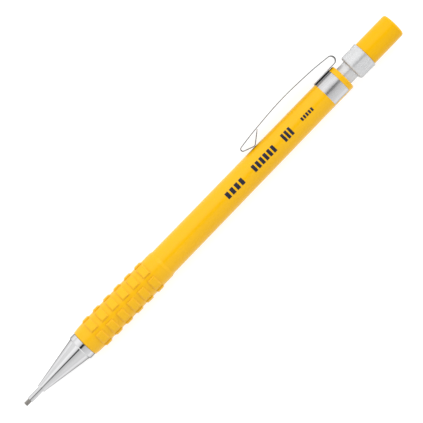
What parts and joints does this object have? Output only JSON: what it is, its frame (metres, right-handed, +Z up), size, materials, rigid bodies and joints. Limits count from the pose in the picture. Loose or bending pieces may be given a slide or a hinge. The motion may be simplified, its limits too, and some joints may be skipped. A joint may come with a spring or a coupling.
{
  "type": "mechanical pencil",
  "caption": "Slim push-button mechanical pencil with a chrome nose cone, padded moulded grip, folded steel pocket clip and a capped eraser end.",
  "frame": {"origin": "on the pencil's axis at the front end of the lead guide pipe, with the lead standing out in front of it", "axes": "+X along the axis from the writing tip to the push cap, +Y towards the pocket clip, +Z up with the pencil lying down"},
  "size_m": [0.1478, 0.013, 0.0096],
  "materials": {
    "barrel_plastic": "polished moulded plastic, warm yellow",
    "cap_plastic": "polished moulded plastic, lemon yellow",
    "clear_plastic": "milky clear moulded plastic",
    "nose_chrome": "bright plating on turned brass",
    "pipe_steel": "bright drawn tube",
    "clip_steel": "plated spring steel strip",
    "graphite": "graphite lead, slight metallic sheen",
    "retainer_rubber": "matt moulded rubber",
    "brass": "turned brass",
    "spring_steel": "drawn spring wire",
    "white_plastic": "satin moulded plastic",
    "eraser_rubber": "soft white vinyl eraser"
  },
  "bodies": {
    "barrel": {"barrel": "barrel_plastic", "chuck_sleeve": "brass", "clip_band": "clip_steel", "return_spring": "spring_steel"},
    "mechanism": {"chuck_body": "brass", "tube_coupling": "white_plastic", "lead_tube": "white_plastic", "spare_lead_1": "graphite", "spare_lead_2": "graphite"},
    "clutch": {"clutch_ring": "brass"},
    "jaw_1": {"chuck_jaw_1": "brass"},
    "jaw_2": {"chuck_jaw_2": "brass"},
    "jaw_3": {"chuck_jaw_3": "brass"},
    "lead": {"lead": "graphite"},
    "nose_core": {"guide_pipe": "pipe_steel", "lead_retainer": "retainer_rubber"},
    "nose": {"nose_cone": "nose_chrome"},
    "clip": {"clip_arm": "clip_steel"},
    "holder": {"eraser_holder": "clear_plastic"},
    "eraser": {"eraser": "eraser_rubber"},
    "cap": {"push_cap": "cap_plastic"}
  },
  "joints": [
    {"name": "push_slide", "type": "slide", "parent": "barrel", "child": "mechanism", "axis": [-1, 0, 0], "range_m": [0, 0.0024], "stiffness_N_per_m": 900, "springref_m": -0.002, "deforming": ["return_spring"]},
    {"name": "clutch_slide", "type": "slide", "parent": "barrel", "child": "clutch", "axis": [-1, 0, 0], "range_m": [0, 0.0009]},
    {"name": "lead_advance", "type": "slide", "parent": "barrel", "child": "lead", "axis": [-1, 0, 0], "range_m": [-0.0018, 0.006]},
    {"name": "nose_slide", "type": "slide", "parent": "barrel", "child": "nose_core", "axis": [-1, 0, 0], "range_m": [0, 0.006]},
    {"name": "nose_turn", "type": "hinge", "parent": "nose_core", "child": "nose", "pos_m": [0.01, 0, 0], "axis": [-1, 0, 0], "range_deg": [-2, 2162]},
    {"name": "clip_flex", "type": "hinge", "parent": "barrel", "child": "clip", "pos_m": [0.12746, 0.0056, 0], "axis": [0, 0, -1], "range_deg": [0, 4], "stiffness_Nm_per_rad": 2, "springref_deg": -0.57},
    {"name": "holder_pull", "type": "slide", "parent": "mechanism", "child": "holder", "axis": [1, 0, 0], "range_m": [0, 0.0155]},
    {"name": "eraser_pull", "type": "slide", "parent": "holder", "child": "eraser", "axis": [1, 0, 0], "range_m": [0, 0.009]},
    {"name": "cap_pull", "type": "slide", "parent": "eraser", "child": "cap", "axis": [1, 0, 0], "range_m": [0, 0.012]},
    {"name": "jaw_1_open", "type": "hinge", "parent": "mechanism", "child": "jaw_1", "pos_m": [0.024, 0.00105, 0], "axis": [0, 0, -1], "range_deg": [0, 1]},
    {"name": "jaw_2_open", "type": "hinge", "parent": "mechanism", "child": "jaw_2", "pos_m": [0.024, -0.00052, 0.00091], "axis": [0, 0.866, 0.5], "range_deg": [0, 1]},
    {"name": "jaw_3_open", "type": "hinge", "parent": "mechanism", "child": "jaw_3", "pos_m": [0.024, -0.00052, -0.00091], "axis": [0, -0.866, 0.5], "range_deg": [0, 1]}
  ],
  "couplings": [
    {"joint": "clutch_slide", "follows": "push_slide", "ratio": 0.374},
    {"joint": "nose_turn", "follows": "nose_slide", "rad_per_m": 6283.2},
    {"joint": "jaw_1_open", "follows": "push_slide", "rad_per_m": 7.2649},
    {"joint": "jaw_2_open", "follows": "push_slide", "rad_per_m": 7.2649},
    {"joint": "jaw_3_open", "follows": "push_slide", "rad_per_m": 7.2649}
  ]
}
